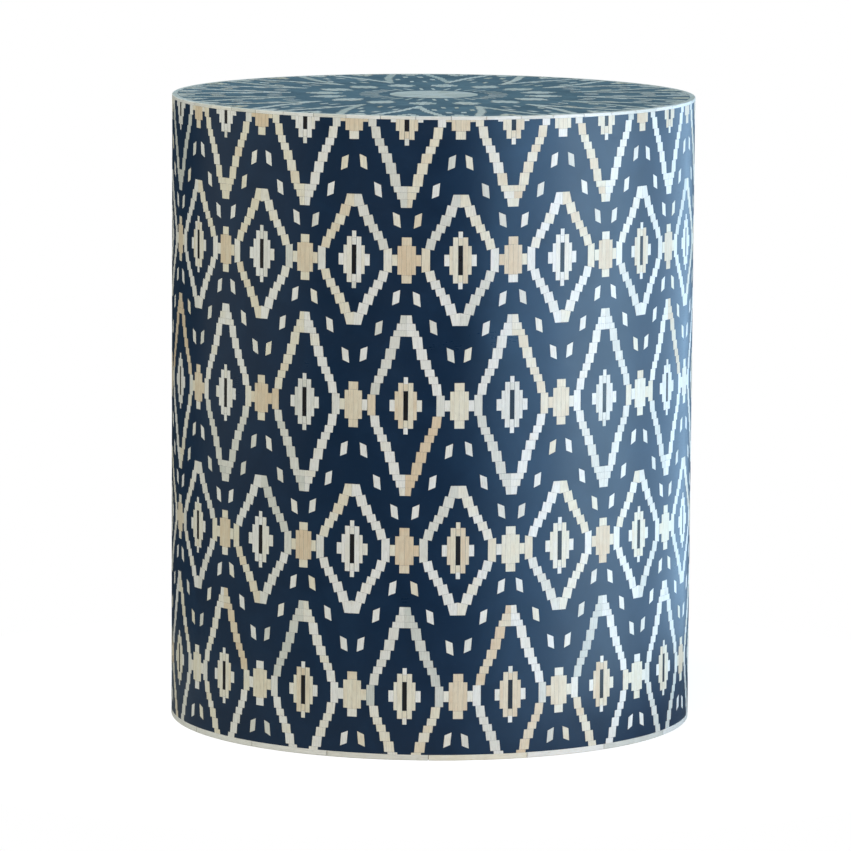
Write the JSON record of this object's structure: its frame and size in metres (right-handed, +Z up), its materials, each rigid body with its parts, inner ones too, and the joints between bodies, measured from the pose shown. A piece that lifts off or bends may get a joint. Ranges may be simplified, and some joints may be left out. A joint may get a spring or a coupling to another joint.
{
  "type": "bone inlay drum side table",
  "caption": "Round drum side table: a staved wooden cylinder coated in navy resin, with diamond frames, edging and a rosette of bone set flush in the coat.",
  "frame": {"origin": "centre of the drum's base, on the floor", "axes": "+Z up along the drum's axis, -Y towards the front of the picture"},
  "size_m": [0.381, 0.381, 0.457],
  "materials": {
    "stave_wood": "sawn",
    "plywood": "sanded",
    "navy_resin": "polished",
    "bone": "polished"
  },
  "bodies": {
    "root": {"stave_01": "stave_wood", "stave_02": "stave_wood", "stave_03": "stave_wood", "stave_04": "stave_wood", "stave_05": "stave_wood", "stave_06": "stave_wood", "stave_07": "stave_wood", "stave_08": "stave_wood", "stave_09": "stave_wood", "stave_10": "stave_wood", "stave_11": "stave_wood", "stave_12": "stave_wood", "stave_13": "stave_wood", "stave_14": "stave_wood", "stave_15": "stave_wood", "stave_16": "stave_wood", "top_board": "plywood", "bottom_board": "plywood", "side_resin": "navy_resin", "top_resin": "navy_resin", "tall_diamond_frames": "bone", "short_diamond_frames": "bone", "top_rosette": "bone", "top_edge_border": "bone", "bottom_edge_band": "bone"}
  },
  "joints": []
}
